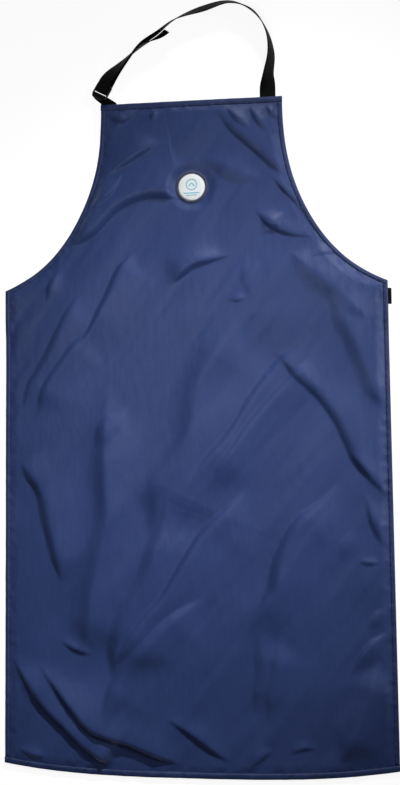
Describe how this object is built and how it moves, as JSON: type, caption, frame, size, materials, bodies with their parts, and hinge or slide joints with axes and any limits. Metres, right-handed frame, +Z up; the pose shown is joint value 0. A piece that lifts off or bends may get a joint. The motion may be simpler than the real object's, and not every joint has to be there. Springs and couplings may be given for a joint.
{
  "type": "bib apron",
  "caption": "Lined bib apron laid flat, with an adjustable webbing neck loop, a waist strap with a side-release buckle, bound edges and a plain round badge.",
  "frame": {"origin": "on the surface that the apron lies on, under the middle of its bounding box", "axes": "+Z up out of the apron's face, +Y along its length towards the neck loop, +X towards the right edge as it is seen from the front"},
  "size_m": [0.618, 1.2295, 0.0261],
  "materials": {
    "nylon_shell": "navy coated nylon with a soft sheen and fine creases",
    "lining_cloth": "matt navy lining taffeta",
    "padding": "pale grey needled felt",
    "webbing": "black ribbed polypropylene webbing",
    "buckle_plastic": "black moulded acetal, satin",
    "thread": "navy lockstitch thread",
    "badge_face": null,
    "badge_edge": "dark navy overlocked thread edge",
    "label_cloth": "blank white satin label"
  },
  "bodies": {
    "apron": {"front_shell": "nylon_shell", "interlining": "padding", "back_lining": "lining_cloth", "binding_top": "nylon_shell", "binding_hem": "nylon_shell", "binding_armhole_left": "nylon_shell", "binding_armhole_right": "nylon_shell", "binding_side_left": "nylon_shell", "binding_side_right": "nylon_shell", "badge_disc": "badge_face", "badge_rim": "badge_edge", "care_label": "label_cloth", "neck_strap_sewn_end": "webbing", "neck_anchor_sewn_end": "webbing", "neck_stitch_left": "thread", "neck_stitch_right": "thread", "waist_strap_sewn_end_left": "webbing", "waist_strap_sewn_end_right": "webbing", "waist_stitch_left": "thread", "waist_stitch_right": "thread"},
    "neck_loop": {"neck_strap": "webbing", "neck_anchor_loop": "webbing"},
    "neck_slider": {"neck_buckle": "buckle_plastic"},
    "waist_left": {"waist_strap_left": "webbing"},
    "plug": {"waist_plug": "buckle_plastic"},
    "plug_arm_back": {"waist_plug_arm_back": "buckle_plastic"},
    "plug_arm_front": {"waist_plug_arm_front": "buckle_plastic"},
    "waist_right": {"waist_strap_right": "webbing"},
    "socket": {"waist_socket": "buckle_plastic"}
  },
  "joints": [
    {"name": "neck_loop_lift", "type": "hinge", "parent": "apron", "child": "neck_loop", "pos_m": [0, 0.4555, 0.0018], "axis": [1, 0, 0], "range_deg": [-90, 35]},
    {"name": "neck_buckle_rock", "type": "hinge", "parent": "neck_loop", "child": "neck_slider", "pos_m": [-0.143, 0.474, 0.0104], "axis": [0.7806, -0.5008, 0.374], "range_deg": [-4, 4]},
    {"name": "waist_left_swing", "type": "hinge", "parent": "apron", "child": "waist_left", "pos_m": [-0.303, 0.13, 0.00175], "axis": [0, 1, 0], "range_deg": [0, 180]},
    {"name": "waist_right_swing", "type": "hinge", "parent": "apron", "child": "waist_right", "pos_m": [0.309, 0.13, 0.00175], "axis": [0, -1, 0], "range_deg": [0, 180]},
    {"name": "plug_tilt", "type": "hinge", "parent": "waist_left", "child": "plug", "pos_m": [0.057, 0.13, 0.004], "axis": [0, 1, 0], "range_deg": [0, 90]},
    {"name": "socket_tilt", "type": "hinge", "parent": "waist_right", "child": "socket", "pos_m": [0.174, 0.13, 0.004], "axis": [0, -1, 0], "range_deg": [0, 90]},
    {"name": "arm_squeeze_back", "type": "hinge", "parent": "plug", "child": "plug_arm_back", "pos_m": [0.076, 0.141, 0.004], "axis": [0, 0, -1], "range_deg": [0, 6], "stiffness_Nm_per_rad": 0.2},
    {"name": "arm_squeeze_front", "type": "hinge", "parent": "plug", "child": "plug_arm_front", "pos_m": [0.076, 0.119, 0.004], "axis": [0, 0, 1], "range_deg": [0, 6], "stiffness_Nm_per_rad": 0.2}
  ],
  "couplings": [
    {"joint": "arm_squeeze_front", "follows": "arm_squeeze_back", "ratio": 1}
  ]
}
